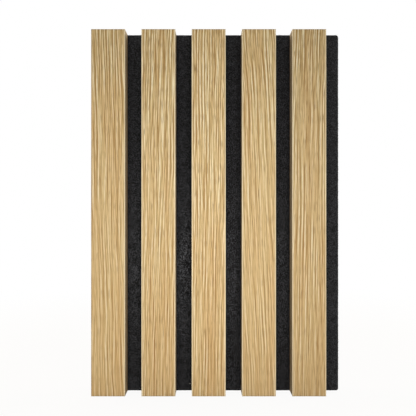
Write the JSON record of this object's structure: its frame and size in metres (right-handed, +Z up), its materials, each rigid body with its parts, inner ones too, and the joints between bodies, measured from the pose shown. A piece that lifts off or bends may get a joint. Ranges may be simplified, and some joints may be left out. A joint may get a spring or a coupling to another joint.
{
  "type": "acoustic slat wall panel",
  "caption": "Rectangular wall panel of upright oak-veneered slats stapled to a black felt board that soaks up sound.",
  "frame": {"origin": "centre of the felt's flat back, the face that lies on the wall", "axes": "+X to the right seen from the front, +Y out of the back into the wall, +Z up along the slats"},
  "size_m": [0.2, 0.021, 0.292],
  "materials": {
    "oak_veneer": "matt lacquered light oak veneer",
    "fibreboard": "sawn medium-density fibreboard",
    "balancing_layer": "resin-soaked brown kraft paper",
    "felt": "black needle-punched polyester felt board",
    "staple_wire": "galvanised wire"
  },
  "bodies": {
    "root": {"felt_backing": "felt", "balancing_layer_1": "balancing_layer", "balancing_layer_2": "balancing_layer", "balancing_layer_3": "balancing_layer", "balancing_layer_4": "balancing_layer", "balancing_layer_5": "balancing_layer", "mdf_core_1": "fibreboard", "mdf_core_2": "fibreboard", "mdf_core_3": "fibreboard", "mdf_core_4": "fibreboard", "mdf_core_5": "fibreboard", "oak_veneer_1": "oak_veneer", "oak_veneer_2": "oak_veneer", "oak_veneer_3": "oak_veneer", "oak_veneer_4": "oak_veneer", "oak_veneer_5": "oak_veneer", "staple_1_1": "staple_wire", "staple_1_2": "staple_wire", "staple_1_3": "staple_wire", "staple_2_1": "staple_wire", "staple_2_2": "staple_wire", "staple_2_3": "staple_wire", "staple_3_1": "staple_wire", "staple_3_2": "staple_wire", "staple_3_3": "staple_wire", "staple_4_1": "staple_wire", "staple_4_2": "staple_wire", "staple_4_3": "staple_wire", "staple_5_1": "staple_wire", "staple_5_2": "staple_wire", "staple_5_3": "staple_wire"}
  },
  "joints": []
}
